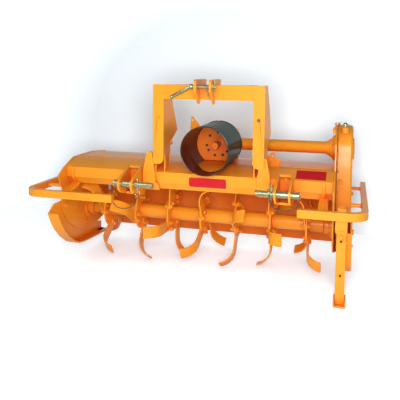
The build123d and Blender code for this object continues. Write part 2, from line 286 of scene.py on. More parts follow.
def ring_bead(bm, centre, axis, radius, thick=2.6, steps=40):
    """Weld bead round a shaft or tube."""
    axis = Vector(axis).normalized()
    a = axis.orthogonal().normalized()
    b = axis.cross(a)
    rings = []
    for i in range(steps):
        t = 2 * pi * i / steps
        out = a * cos(t) + b * sin(t)
        rings.append(circle(bm, centre + out * radius / 1000, out, axis, thick * ripple(i), 6))
    skin_rings(bm, rings, closed=True)


HOOD = [(130, 565), (300, 565), (472, 545), (530, 470), (545, 412)]
LEFT_END, RIGHT_END = -782, 604
PLATE = 8


def folded_sheet(bm, course, x0, x1, thick, bend=14.0):
    """Sheet from x0 to x1 folded along the course of (y, z) points, its folds rounded."""
    points = [Vector(p) for p in course]
    soft = [points[0]]
    for before, fold, after in zip(points, points[1:], points[2:]):
        enter = fold + (before - fold).normalized() * bend
        leave = fold + (after - fold).normalized() * bend
        for k in range(5):
            t = k / 4
            soft.append(enter * (1 - t) ** 2 + fold * 2 * t * (1 - t) + leave * t ** 2)
    soft.append(points[-1])
    rings = []
    for i, p in enumerate(soft):
        run = (soft[min(i + 1, len(soft) - 1)] - soft[max(i - 1, 0)]).normalized()
        inner = p + Vector((run.y, -run.x)) * thick
        section = ((x0, p), (x1, p), (x1, inner), (x0, inner))
        rings.append([bm.verts.new(spot(x, *yz)) for x, yz in section])
    skin_rings(bm, rings, smooth=True)
    for edge in bm.edges:
        if abs(edge.verts[0].co.x - edge.verts[1].co.x) < 1e-6 and len(edge.link_faces) == 2:
            edge.smooth = False


hood = bmesh.new()
folded_sheet(hood, HOOD, LEFT_END, RIGHT_END, 5)
hood = hand_over("folded_hood", hood, enamel)
# The hood's underside takes the shaded copy of the enamel: painted shade.
hood.data.materials.append(enamel_shaded)
for face in hood.data.polygons:
    if face.normal.z < 0.05 and abs(face.normal.x) < 0.5:
        face.material_index = 1
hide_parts("hood_deck")
crest = bmesh.new()
CREST = [(286, 566), (300, 568), (474, 548), (533, 471), (541, 430), (512, 424), (499, 462), (418, 532)]
for x in (LEFT_END - PLATE, RIGHT_END):
    rings = [[crest.verts.new(spot(face, *yz)) for yz in CREST] for face in (x + 0.4, x + PLATE - 0.4)]
    skin_rings(crest, rings, smooth=False)
hand_over("side_plate_crests", crest, enamel)
seams = bmesh.new()
for x in (LEFT_END + 2, RIGHT_END - 2):
    bead(seams, spot(x, 2, 476), spot(x, 2, 526))
    bead(seams, spot(x, 2, 527), spot(x, 80, 566))
    bead(seams, spot(x, 80, 566), spot(x, 288, 566))
bead(seams, spot(LEFT_END + 6, 131, 566), spot(-290, 131, 566), 1.8)
bead(seams, spot(290, 131, 566), spot(RIGHT_END - 6, 131, 566), 1.8)
hand_over("deck_weld_beads", seams, enamel)

# ---- Labels --------------------------------------------------------------------------------
# Blank red vinyl stickers, one folded over the beam's front edge and one on the slope above it.
# They are laid on the dry enamel by hand, with round corners, and carry no print.
vinyl, tree, shader = new_finish("red_vinyl")
shader.inputs["Specular IOR Level"].default_value = 0.2
shader.inputs["Coat Weight"].default_value = 0.15
shader.inputs["Coat Roughness"].default_value = 0.12
coloured(tree, shader, cloudy(tree, 14.0, 0.0, 1.0), (0.56, 0.006, 0.012), (0.62, 0.009, 0.016))
tree.links.new(cloudy(tree, 30.0, 0.28, 0.42), shader.inputs["Roughness"])
grained(tree, shader, cloudy(tree, 120.0, 0.0, 1.0, 2.0), 0.03, 0.0006)


def sticker(name, x0, x1, course, corner=9.0, lift=0.5):
    """Thin sticker from x0 to x1 over the course of (y, z) points up a plate, with round corners."""
    film = 0.05
    runs = [Vector(p) for p in course]
    lengths = [(b - a).length for a, b in zip(runs, runs[1:])]
    total = sum(lengths)

    def at(s, out):
        for a, b, length in zip(runs, runs[1:], lengths):
            if s <= length or b is runs[-1]:
                along = (b - a) / length
                return a + along * s + Vector((-along.y, along.x)) * out
            s -= length

    folds = [sum(lengths[:i]) for i in range(1, len(lengths))]
    stops = sorted({0, 2, 4, corner, total - corner, total - 4, total - 2, total, *folds})
    bm = bmesh.new()
    rings = []
    for s in stops:
        near = min(s, total - s)
        pull = 0 if near >= corner else corner - (corner ** 2 - (corner - near) ** 2) ** 0.5
        ring = []
        for x, out in ((x0 + pull, lift), (x1 - pull, lift), (x1 - pull, film), (x0 + pull, film)):
            y, z = at(s, out)
            ring.append(bm.verts.new(spot(x, y, z)))
        rings.append(ring)
    skin_rings(bm, rings, smooth=False)
    return hand_over(name, bm, vinyl)


sticker("blank_label_front", -99, 92, [(11.7, 460.5), (0, 474), (0, 510)])
sticker("blank_label_deck", 428, 569, [(12, 532.7), (75, 562.6)], 4.0)

# ---- Hitch tower ---------------------------------------------------------------------------
# Two folded posts and a square crossbar in thick plate, all welded. Each post stands on the beam
# and the deck, with a pivot bolt in the left one's hole and stay lugs behind both.
finish_plates(["hitch_upright_left", "hitch_upright_right", "hitch_crossbar", "top_link_lugs", "stay_lugs"],
              enamel, 1.8)


def turned(bm, foot, axis, profile, sides=20, smooth=True):
    """Turned form from foot along axis, through (height, radius) pairs in mm."""
    axis = Vector(axis).normalized()
    a = axis.orthogonal().normalized()
    b = axis.cross(a)
    rings = []
    for height, r in profile:
        rings.append(circle(bm, foot + axis * height / 1000, a, b, r, sides))
    skin_rings(bm, rings, smooth=smooth)


def hex_bolt(bm, foot, axis, flats=17.0, washer=True):
    """Hexagon head with its chamfer, on a round washer; flats is the spanner size in mm."""
    r = flats / 2 / cos(pi / 6)
    base = 0
    if washer:
        base = flats * 0.12
        turned(bm, foot, axis, [(0, flats * 0.66), (base * 0.8, flats * 0.66), (base, flats * 0.62)], 18)
    tall = flats * 0.38
    turned(bm, foot, axis, [(base, r), (base + tall * 0.86, r), (base + tall, r * 0.84)], 6, False)


def nut(bm, foot, axis, flats=17.0, stub=6.0):
    """Hexagon nut on the end of its bolt, with the thread standing out of it."""
    hex_bolt(bm, foot, axis, flats)
    tall = flats * 0.48
    thread = flats * 0.29
    turned(bm, foot, axis, [(tall, thread), (tall + stub, thread), (tall + stub + 1.2, flats * 0.22)], 12)


seams = bmesh.new()
for s in (-1, 1):
    for x in (225, 281):
        bead(seams, spot(s * x, 3, 529), spot(s * x, 59, 556))
        bead(seams, spot(s * x, 62, 560), spot(s * x, 78, 636))
    bead(seams, spot(s * 224, -27, 903), spot(s * 224, -27, 971), 3.0)
    bead(seams, spot(s * 224, -24, 900), spot(s * 224, 53, 900), 3.0)
    bead(seams, spot(s * 224, 56, 903), spot(s * 224, 56, 971), 3.0)
    bead(seams, spot(s * 252, 121, 566), spot(s * 332, 121, 566))
    bead(seams, spot(s * 252, 131, 566), spot(s * 332, 131, 566))
for x in (-48, -36, 26, 38):
    bead(seams, spot(x, -29, 899), spot(x, -29, 971), 2.4)
    bead(seams, spot(x, 56, 942), spot(x, 56, 971), 2.4)
    bead(seams, spot(x, -26, 974), spot(x, 53, 974), 2.4)
for x in (-42, 32):
    turned(seams, spot(x, -27, 894), (0, -1, -0.3), [(-4, 7), (1, 6.4), (4, 4.2), (5, 1.5)], 12)
hand_over("tower_weld_beads", seams, enamel)

# Painted pivot bolts: one in the left post's hole, and one through each stay lug's foot.
bolts = bmesh.new()
turned(bolts, spot(-253, -29, 809), (0, -1, 0), [(-2, 8), (1.5, 8), (3.0, 6)], 18)
hex_bolt(bolts, spot(-240, 82, 672), (0, -1, 0), 15)
hex_bolt(bolts, spot(-225, 84, 668), (1, 0, 0), 17)
hex_bolt(bolts, spot(225, 84, 668), (-1, 0, 0), 17)
hex_bolt(bolts, spot(339, 128, 590), (0, -1, 0), 13)
hand_over("tower_bolts", bolts, enamel)

# ---- Top link pin --------------------------------------------------------------------------
# Turned steel pin with a bent bar handle, zinc plated and yellow passivated. A linch pin on a spring
# ring keeps it in the lugs. The passivation is uneven, so that it shades from yellow to green.
zinc, tree, shader = new_finish("yellow_zinc")
shader.inputs["Metallic"].default_value = 0.92
patch = two_tone(tree, cloudy(tree, 26.0, 0.0, 1.0), (0.58, 0.57, 0.27), (0.38, 0.46, 0.28))
coloured(tree, shader, cloudy(tree, 7.0, 0.0, 0.6), patch, (0.66, 0.60, 0.38))
tree.links.new(cloudy(tree, 60.0, 0.20, 0.38), shader.inputs["Roughness"])
grained(tree, shader, cloudy(tree, 300.0, 0.0, 1.0, 2.0), 0.08, 0.0005)
finish_plates(["top_link_pin"], zinc, 1.2)


def bar(bm, points, radius, sides=12, cap=0.55):
    """Round bar through the points, in mm from the hitch centre, with its ends rounded over."""
    places = [spot(*p) for p in points]
    rings = []
    across = None
    last = len(places) - 1
    for i, centre in enumerate(places):
        heading = (places[min(i + 1, last)] - places[max(i - 1, 0)]).normalized()
        across = heading.orthogonal() if across is None else across - heading * across.dot(heading)
        across.normalize()
        up = heading.cross(across)
        steps = [(0, 1)]
        if i == 0:
            steps = [(-0.35, cap), (0, 1)]
        elif i == last:
            steps = [(0, 1), (0.35, cap)]
        for shift, grow in steps:
            place = centre + heading * shift * radius / 1000
            rings.append(circle(bm, place, across, up, radius * grow, sides))
    skin_rings(bm, rings)


def hoop(bm, centre, axis, radius, thick, steps=28):
    """Closed ring of round wire."""
    axis = Vector(axis).normalized()
    a = axis.orthogonal().normalized()
    b = axis.cross(a)
    rings = []
    for i in range(steps):
        t = 2 * pi * i / steps
        out = a * cos(t) + b * sin(t)
        rings.append(circle(bm, centre + out * radius / 1000, out, axis, thick, 8))
    skin_rings(bm, rings, closed=True)


TOP_Y, TOP_Z = -72, 966
handle = bmesh.new()
turned(handle, spot(-63, TOP_Y, TOP_Z), (-1, 0, 0), [(0, 12), (1, 13), (12, 13), (13, 12)], 24)
bent = [(-70, 0), (-79, -3.5), (-88, -8.8), (-97, -13.8), (-172.5, -52.5)]
bar(handle, [(x, TOP_Y, TOP_Z + drop) for x, drop in bent], 8.6, 16, 0.8)
sleeve = [(0, 8.6), (0.8, 9.8), (11, 9.8), (12.4, 8)]
turned(handle, spot(-163, TOP_Y, TOP_Z - 47.6), (-0.89, 0, -0.46), sleeve, 18)
grip = hand_over("top_pin_grip", handle, zinc)
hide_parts("top_pin_handle")
keeper = bmesh.new()
stem = [(-7, 6.5), (-5.5, 7.6), (2, 7.6), (3.2, 5), (36, 5), (42, 2.4)]
turned(keeper, spot(46, TOP_Y, TOP_Z + 20), (0, 0, -1), stem, 16)
hoop(keeper, spot(20, -76, 934), (0.15, 1, 0), 13, 2.0)
bar(keeper, [(20, -76, 947), (26, -82, 957), (38, -84, 972), (46, -80, 982)], 2.0, 8)
turned(keeper, spot(17, -82, 942), (0, -1, 0), [(0, 5.5), (5, 5.5), (6.5, 4)], 12)
hand_over("top_linch_pin", keeper, zinc)

# ---- Gussets and lower hitch ---------------------------------------------------------------
# Thick gussets stiffen the posts' feet in front of the beam. Beside them stand the two lower hitch
# brackets, each two cheeks with a through pin, welded all round. One bolt holds each back plate.
finish_plates(["front_gussets", "lower_hitch_brackets"], enamel, 1.8)
seams = bmesh.new()
for x0, x1, top_z in ((-341, -274, 560), (247, 310, 535)):
    for x in (x0, x1):
        bead(seams, spot(x, -1, 478), spot(x + (4 if x == x0 else -4), -1, top_z))
for s in (-1, 1):
    for x in (346, 356, 412, 422):
        bead(seams, spot(s * x, -1, 478), spot(s * x, -1, 550))
        bead(seams, spot(s * x, 4, 468), spot(s * x, 31, 438))
    bead(seams, spot(s * 348, -2, 554), spot(s * 420, -2, 554))
    bead(seams, spot(s * 358, -58, 429), spot(s * 410, -58, 429))
hand_over("hitch_weld_beads", seams, enamel)
bolts = bmesh.new()
for s in (-1, 1):
    hex_bolt(bolts, spot(s * 384, 0, 531), (0, -1, 0), 15)
    turned(bolts, spot(s * 384, -40, 424), (0, -0.25, 1), [(0, 9), (3, 8), (6, 5)], 12)
hand_over("hitch_bolts", bolts, enamel)

# ---- Lower hitch pins ----------------------------------------------------------------------
# Turned pins with a cross hole at the free end and an eye on the outer head for the lanyard. The
# linch pins drop through the shoulder, and their rings hang below on the left, in front on the right.
finish_plates(["lower_hitch_pins"], zinc, 1.2, 62)
PIN_Y = -115


def linch_stem(bm, x, top_z, long):
    """Stem of a linch pin, dropped from its head at top_z through the hitch pin's shoulder."""
    profile = [(-2, 6), (0, 7.4), (8, 7.4), (9.5, 5), (long - 5, 5), (long, 2.4)]
    turned(bm, spot(x, PIN_Y, top_z), (0, 0, -1), profile, 16)


linch = bmesh.new()
linch_stem(linch, -330, 508, 63)
hoop(linch, spot(-330, PIN_Y, 437), (0, 1, 0), 13, 2.2)
turned(linch, spot(-330, PIN_Y - 4, 458), (0, -1, 0), [(0, 4.5), (4, 4.5), (5, 3)], 12)
hoop(linch, spot(-336, PIN_Y, 418), (1, 0, 0), 5, 1.7, 16)
piece = hand_over("linch_pin_left", linch, zinc)
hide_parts("linch_pins")
linch = bmesh.new()
linch_stem(linch, 330, 522, 71)
bar(linch, [(330, PIN_Y + 3, 514), (330, PIN_Y - 7, 515), (330, PIN_Y - 17, 512)], 2.6, 8)
hoop(linch, spot(330, PIN_Y - 19, 500), (0, 1, 0), 13, 2.2)
hoop(linch, spot(324, PIN_Y - 19, 482), (1, 0, 0), 5, 1.7, 16)
hand_over("linch_pin_right", linch, zinc)
eyes = bmesh.new()
for x in (-454.5, 462.5):
    hoop(eyes, spot(x, PIN_Y - 6, 472), (1, 0, 0), 5.5, 1.8, 16)
hand_over("lanyard_eyes", eyes, zinc)

# ---- Gearbox -------------------------------------------------------------------------------
# Cast housing bolted to the deck, painted with the rest. Its round face plate is held by a ring of
# blackened cap screws round the input shaft, and a lifting lug stands on its closed end.
finish_plates(["gearbox"], enamel, 2.2)
blackened, tree, shader = new_finish("blackened_steel")
shader.inputs["Metallic"].default_value = 0.7
coloured(tree, shader, cloudy(tree, 40.0, 0.0, 1.0), (0.016, 0.014, 0.013), (0.050, 0.038, 0.030))
tree.links.new(cloudy(tree, 80.0, 0.35, 0.55), shader.inputs["Roughness"])
SHAFT_Z, FACE_Y = 656, 205
DRIVE, AXLE = (300, 650), (249, 254)


def around(centre, r, count, first=0):
    """Evenly spaced places (y, z) at r mm round a centre, the first of them at that many degrees."""
    turns = [radians(360 / count * k + first) for k in range(count)]
    return [(centre[0] + r * cos(t), centre[1] + r * sin(t)) for t in turns]


screws = bmesh.new()
socket = [(-1, 6.6), (5.0, 6.6), (6.0, 5.6), (6.0, 3.4), (2.5, 3.2)]
for angle in (90, 136, 188, 214, 254, 294, 324, 2, 46):
    x, z = 62 * cos(radians(angle)), SHAFT_Z + 62 * sin(radians(angle))
    turned(screws, spot(x, FACE_Y, z), (0, -1, 0), socket, 14)
hand_over("face_plate_screws", screws, blackened)
casting = bmesh.new()
turned(casting, spot(0, FACE_Y, SHAFT_Z), (0, -1, 0), [(-1, 33), (3, 33), (4, 31.5), (4, 25)], 36)
end_cap = [(-2, 38), (4, 37), (6, 33), (6, 14), (10, 12), (11, 9)]
turned(casting, spot(-130, *DRIVE), (-1, 0, 0), end_cap, 32)
for place in around(DRIVE, 37, 6, 20):
    hex_bolt(casting, spot(-130, *place), (-1, 0, 0), 10, False)
turned(casting, spot(30, 290, 728), (0, 0, 1), [(-1, 17), (5, 17), (6, 15), (6, 9), (16, 9), (17, 7)], 20)
hex_bolt(casting, spot(-40, 330, 728), (0, 0, 1), 19)
for x in (-66, 66):
    for y in (262, 330):
        nut(casting, spot(x, y, 600), (0, 0, 1), 15, 5)
for z in (612, 706):
    for y in (238, 336):
        hex_bolt(casting, spot(80, y, z), (1, 0, 0), 13)
bead(casting, spot(-168, 296, 652), spot(-104, 296, 652), 2.4)
hand_over("gearbox_fittings", casting, enamel)

# ---- Input shaft and its shield ------------------------------------------------------------
# Six-spline shaft, overpainted with the machine. Round it sits a moulded shield in gloss green-black,
# coloured dark red inside as painted reflection of the orange parts, with a rolled rim in front and a
# black band at the gearbox.
finish_plates(["pto_shaft"], enamel, 1.2)
spline = bmesh.new()
for k in range(6):
    t = radians(60 * k)
    a, up = Vector((cos(t), 0, sin(t))), Vector((-sin(t), 0, cos(t)))
    rings = []
    for y in (133, 136, 196, 199):
        tall = 18.9 if y in (136, 196) else 17.4
        rings.append([spline.verts.new(spot(0, y, SHAFT_Z) + (a * h + up * w) / 1000)
                      for h, w in ((16.5, -5), (tall, -4), (tall, 4), (16.5, 5))])
    skin_rings(spline, rings, smooth=False)
hand_over("shaft_splines", spline, enamel, body="input_shaft")

# Which colour shows is worked out from how far a spot is from the shaft's axis, in metres.
MIDDLE_RADIUS = 0.119
moulding, tree, shader = new_finish("shield_plastic")
shader.inputs["Roughness"].default_value = 0.35
shader.inputs["Specular IOR Level"].default_value = 0.02
shader.inputs["Coat Weight"].default_value = 0.2
shader.inputs["Coat Roughness"].default_value = 0.05
where = tree.nodes.new("ShaderNodeTexCoord")
axis_away = tree.nodes.new("ShaderNodeVectorMath")
axis_away.operation = "SUBTRACT"
axis_away.inputs[1].default_value = spot(0, 202, SHAFT_Z)
tree.links.new(where.outputs["Object"], axis_away.inputs[0])
split = tree.nodes.new("ShaderNodeSeparateXYZ")
tree.links.new(axis_away.outputs[0], split.inputs[0])
squares = []
for side in ("X", "Z"):
    square = tree.nodes.new("ShaderNodeMath")
    square.operation = "MULTIPLY"
    tree.links.new(split.outputs[side], square.inputs[0])
    tree.links.new(split.outputs[side], square.inputs[1])
    squares.append(square.outputs[0])
away = tree.nodes.new("ShaderNodeMath")
away.operation = "ADD"
tree.links.new(squares[0], away.inputs[0])
tree.links.new(squares[1], away.inputs[1])
outside = tree.nodes.new("ShaderNodeMath")
outside.operation = "GREATER_THAN"
outside.inputs[1].default_value = MIDDLE_RADIUS ** 2
tree.links.new(away.outputs[0], outside.inputs[0])
# Painted reflection: inside the shield the plastic is coloured dark red, for the orange parts it mirrors.
orange_reflection_tint = two_tone(tree, cloudy(tree, 9.0, 0.0, 1.0), (0.150, 0.014, 0.007), (0.085, 0.010, 0.006))
green_black = two_tone(tree, cloudy(tree, 9.0, 0.0, 1.0), (0.005, 0.032, 0.022), (0.010, 0.046, 0.033))
coloured(tree, shader, outside.outputs[0], orange_reflection_tint, green_black)
grained(tree, shader, cloudy(tree, 70.0, 0.0, 1.0, 2.0), 0.03, 0.001)
finish_plates(["pto_shield"], moulding, 1.2)
rim_black, tree, shader = new_finish("rim_black")
shader.inputs["Coat Weight"].default_value = 1.0
shader.inputs["Coat Roughness"].default_value = 0.08
coloured(tree, shader, cloudy(tree, 30.0, 0.0, 1.0), (0.006, 0.008, 0.008), (0.016, 0.020, 0.020))
tree.links.new(cloudy(tree, 50.0, 0.18, 0.3), shader.inputs["Roughness"])
rim = bmesh.new()
hoop(rim, spot(0, -75.5, SHAFT_Z), (0, 1, 0), 119.3, 2.6, 96)
hand_over("shield_front_rim", rim, rim_black)
band = bmesh.new()
BAND_Y, BAND_R = 228, 122.2
BAND = [(-7.5, -1.4), (-7.5, 0.6), (-5.5, 1.6), (5.5, 1.6), (7.5, 0.6), (7.5, -1.4)]
rings = []
for i in range(91):
    t = radians(-38 + 256 * i / 90)
    out = Vector((cos(t), 0, sin(t)))
    rings.append([band.verts.new(spot(0, BAND_Y + dy, SHAFT_Z) + out * (BAND_R + dr) / 1000)
                  for dy, dr in BAND])
skin_rings(band, rings)
hand_over("shield_back_band", band, rim_black)
screws = bmesh.new()
for angle, y in ((88, 196), (150, 196), (-28, 205)):
    out = Vector((cos(radians(angle)), 0, sin(radians(angle))))
    hex_bolt(screws, spot(0, y, SHAFT_Z) + out * 0.1205, out, 11)
hand_over("shield_screws", screws, zinc)

# ---- Drive tube and gear case --------------------------------------------------------------
# The tube carries the cross shaft to a pan-shaped case of pressed steel, bolted over the side plate.
# A dark band round the joint is painted shade of the gap there. A zinc-plated breather dome caps the
# case's filler neck.
finish_plates(["drive_tube", "gear_case"], enamel, 1.6, 40)


def case_course(r):
    """Points (y, z) at r mm round the two shafts: over the drive shaft, then under the rotor's."""
    return around(DRIVE, r, 24)[:13] + (around(AXLE, r, 24) * 2)[12:25]


# Painted shade: a dark band round the case's flange edge stands in for the shaded gap at the joint.
GAP_SHADE_FACES = 612.3, 614.6
gap_shade = bmesh.new()
rings = []
for inner, outer in zip(case_course(131.5), case_course(133.6)):
    near, far = GAP_SHADE_FACES
    section = ((near, inner), (near, outer), (far, outer), (far, inner))
    rings.append([gap_shade.verts.new(spot(x, *yz)) for x, yz in section])
skin_rings(gap_shade, rings, closed=True, smooth=False)
dark_gap_shade, tree, shader = new_finish("painted_gap_shade")
coloured(tree, shader, cloudy(tree, 40.0, 0.0, 1.0), (0.018, 0.016, 0.012), (0.06, 0.045, 0.025))
tree.links.new(cloudy(tree, 60.0, 0.55, 0.75), shader.inputs["Roughness"])
hand_over("case_gap_shade", gap_shade, dark_gap_shade)

bolts = bmesh.new()
ring = case_course(126.5)
places = ring[0:13:2] + ring[13::2]
for a, b in ((ring[12], ring[13]), (ring[-1], ring[0])):
    places += [(a[0] + (b[0] - a[0]) * k / 4, a[1] + (b[1] - a[1]) * k / 4) for k in (1, 2, 3)]
for y, z in places:
    hex_bolt(bolts, spot(617, y, z), (1, 0, 0), 12)
    if z > 560 and y < 400:
        nut(bolts, spot(604, y, z), (-1, 0, 0), 12, 4)
for place in around(DRIVE, 58, 8, 20):
    hex_bolt(bolts, spot(592, *place), (-1, 0, 0), 13)
hex_bolt(bolts, spot(634, 160, 503), (0, -1, 0), 17)
hex_bolt(bolts, spot(604, 150, 588), (-1, 0, 0), 17)
hand_over("case_bolts", bolts, enamel)
cover = bmesh.new()
for centre, r in ((DRIVE, 56), (AXLE, 74)):
    lid = [(0, r), (4, r), (6, r - 2), (6, r * 0.62), (9, r * 0.56), (10, r * 0.4)]
    turned(cover, spot(686, *centre), (1, 0, 0), lid, 36)
    for place in around(centre, r * 0.8, 6, 15):
        hex_bolt(cover, spot(691, *place), (1, 0, 0), 10, False)
hex_bolt(cover, spot(687, 236, 430), (1, 0, 0), 17)
ring_bead(cover, spot(648, 222, 741), (0, 0, 1), 21, 2.4, 30)
ring_bead(cover, spot(590, *DRIVE), (1, 0, 0), 57, 2.2, 44)
ring_bead(cover, spot(84, *DRIVE), (1, 0, 0), 33, 2.6, 36)
hand_over("case_covers", cover, enamel)
dome = bmesh.new()
cap = [(0, 15), (2, 15), (2, 10.4), (5, 10.4), (6, 13), (13, 13), (18, 11), (21.5, 6.5), (22.6, 2)]
turned(dome, spot(648, 222, 768), (0, 0, 1), cap, 24)
hand_over("breather_dome", dome, zinc)
hook = bmesh.new()
bar(hook, [(596, 192, 742), (590, 192, 752), (592, 192, 764), (600, 192, 770), (607, 192, 765)], 3.2, 8)
hand_over("case_hook", hook, enamel)

# ---- Rotor bearings ------------------------------------------------------------------------
# Cast iron housings with a flange, bolted inside the side plates and painted with them. Each has a
# grease nipple and a seal ring, and the left one's outer cap and nuts show on the plate's outside.
finish_plates(["rotor_bearings", "rotor_journals"], enamel, 2.0, 50)
bolts = bmesh.new()
nipple = [(-2, 5), (4, 5), (4, 3), (9, 3.4), (11, 2)]
for x, inward in ((-766, 1), (588, -1)):
    for place in around(AXLE, 55, 4, 45):
        hex_bolt(bolts, spot(x, *place), (inward, 0, 0), 15)
    turned(bolts, spot(x + inward * 22, AXLE[0] - 34, AXLE[1] + 32), (0, -0.7, 0.7), nipple, 12)
    turned(bolts, spot(x + inward * 25, *AXLE), (inward, 0, 0), [(0, 44), (2, 46), (5, 46), (7, 43)], 32)
for place in around(AXLE, 55, 4, 45):
    nut(bolts, spot(LEFT_END - PLATE, *place), (-1, 0, 0), 15, 4)
turned(bolts, spot(LEFT_END - PLATE, *AXLE), (-1, 0, 0), [(0, 40), (4, 40), (7, 36), (8, 20)], 32)
hand_over("bearing_bolts", bolts, enamel)

# ---- Rotor ---------------------------------------------------------------------------------
# Steel tube with seven round flanges welded on. Each flange carries four forged blades, bent round
# to one side and held by two round-headed bolts. START has each flange's turn in degrees, and the
# side that its first blade bends to.
finish_plates(["rotor_reel"], enamel, 1.6, 34)
FLANGES = [-636 + 185 * i for i in range(7)]
START = [(47, -1), (72, -1), (102, -1), (130, -1), (72, 1), (96, 1), (129, 1)]
LAG, BLADE, HALF_FLANGE = 14, 8, 5
bolts = bmesh.new()
for x, (start, first) in zip(FLANGES, START):
    for face in (-1, 1):
        ring_bead(bolts, spot(x + face * 6.5, *AXLE), (1, 0, 0), 39, 3.0, 30)
    for k in range(4):
        side = first if k % 2 == 0 else -first
        t = radians(start + 90 * k - LAG)
        for along, up in ((-79, 50), (-45, 60)):
            y = AXLE[0] + along * cos(t) - up * sin(t)
            z = AXLE[1] + along * sin(t) + up * cos(t)
            head = spot(x + side * (HALF_FLANGE + BLADE), y, z)
            turned(bolts, head, (side, 0, 0), [(0, 13), (2.5, 13), (6, 11), (9, 7), (10.5, 2)], 18)
            nut(bolts, spot(x - side * HALF_FLANGE, y, z), (-side, 0, 0), 21, 5)
hand_over("rotor_bolts", bolts, enamel, body="rotor")

# ---- Rear board ----------------------------------------------------------------------------
# Pressed sheet board on a hinge rod along the deck's rear edge. Rolled knuckles hold it on the rod,
# and a folded rib stiffens its lower edge.
# The board takes the shaded copy of the enamel: painted shade for its dim place under the hood.
finish_plates(["rear_board"], enamel_shaded, 1.2)
fittings = bmesh.new()
HINGE = (524, 404)
for x in (-560, -330, -90, 150, 390):
    turned(fittings, spot(x - 22, *HINGE), (1, 0, 0), [(0, 12.5), (1, 13.5), (43, 13.5), (44, 12.5)], 20)
for x, out in ((-796, -1), (618, 1)):
    turned(fittings, spot(x, *HINGE), (out, 0, 0), [(0, 13), (2, 13), (3, 9), (4.5, 6)], 18)
RIB = [(545.5, 110), (553, 104), (553, 92), (545.9, 86)]
rings = [[fittings.verts.new(spot(x, *yz)) for yz in RIB] for x in (LEFT_END + 14, RIGHT_END - 14)]
skin_rings(fittings, rings, smooth=False)
hand_over("board_fittings", fittings, enamel, body="rear_board")

# ---- Skids ---------------------------------------------------------------------------------
# Curved runners of flat bar with an upright web, welded together and bolted to the side plates.
# Their height on the plates sets the working depth.
finish_plates(["skids"], enamel, 1.2)
bolts = bmesh.new()
for y, z in ((-16, 319), (96, 276), (212, 168)):
    hex_bolt(bolts, spot(-782, y, z), (1, 0, 0), 17)
    nut(bolts, spot(-798, y, z), (-1, 0, 0), 17, 5)
for y, z in ((20, 300), (110, 262), (216, 166)):
    hex_bolt(bolts, spot(695, y, z), (1, 0, 0), 15)
for x in (-789, 686):
    bead(bolts, spot(x, 300, 81), spot(x, 130, 92))
hand_over("skid_bolts", bolts, enamel)

# ---- Side guards ---------------------------------------------------------------------------
# Bent rectangular tube round each end of the machine. It hangs on plates that a strap holds to the
# beam, and on round stays welded to the side plates.
finish_plates(["guard_left", "guard_right"], enamel, 3.0)
finish_plates(["guard_mounts"], enamel, 1.2, 50)
bolts = bmesh.new()
for x in (-744, 561):
    turned(bolts, spot(x, -62, 411), (0, -0.22, 0.97), [(0, 8), (3, 7.4), (5, 4)], 14)
    bead(bolts, spot(x - 20, -129, 396), spot(x + 20, -129, 396), 2.2)
    bead(bolts, spot(x - 9, -2, 526), spot(x + 9, -2, 526), 2.0)
    bead(bolts, spot(x - 22, 20, 439), spot(x + 22, 20, 439), 2.2)
for x, y, z in ((-926, 60, 407), (-926, 430, 407), (732, 85, 407), (732, 475, 407)):
    ring_bead(bolts, spot(x, y, z), (1, 0, 0), 9.5, 2.2, 16)
for x, y, z in ((-792, 60, 407), (-792, 430, 407), (689, 85, 407), (614, 475, 407)):
    ring_bead(bolts, spot(x, y, z), (1, 0, 0), 9.5, 2.4, 16)
hand_over("guard_fittings", bolts, enamel)

# ---- Parking leg ---------------------------------------------------------------------------
# Square tube in a welded sleeve. A lug under the sleeve holds its locking pin, whose tail is turned
# down. A folded foot is welded under the tube, and two holes set its height.
finish_plates(["leg_sleeve", "parking_leg", "leg_foot"], enamel, 2.0)
LEG_X, SLEEVE_FRONT = 648, -129
LUG = [(-14, 338), (14, 338), (14, 306), (7, 298), (-7, 298), (-14, 306)]
pin = bmesh.new()
faces = (SLEEVE_FRONT + 0.1, SLEEVE_FRONT - 3.2)
rings = [[pin.verts.new(spot(LEG_X + dx, y, z)) for dx, z in LUG] for y in faces]
skin_rings(pin, rings, smooth=False)
head = [(-1, 11.5), (3, 11.5), (7, 10), (9.5, 6), (10.5, 2)]
turned(pin, spot(LEG_X, SLEEVE_FRONT - 3, 312), (0, -1, 0), head, 20)
bar(pin, [(650, -139, 306), (660, -140, 298), (670, -140, 291), (679, -139, 287), (684, -132, 285)], 3.0, 8)
hand_over("leg_pin", pin, enamel)
welds = bmesh.new()
for z in (326, 427):
    bead(welds, spot(LEG_X - 24, SLEEVE_FRONT - 0.5, z), spot(LEG_X + 24, SLEEVE_FRONT - 0.5, z), 2.0)
bead(welds, spot(LEG_X - 26, SLEEVE_FRONT + 1, 330), spot(LEG_X - 26, SLEEVE_FRONT + 1, 424), 2.2)
hand_over("leg_sleeve_beads", welds, enamel)

# ---- Studio --------------------------------------------------------------------------------
# White floor and a white screen 0.45 m behind the machine, lit softly from in front and behind. They
# keep the machine's shadow as a soft grey outline, and the floor's glow is dimmed near the machine as
# painted shade. The screen shows only from its front.
bpy.context.scene.view_settings.view_transform = "Standard"


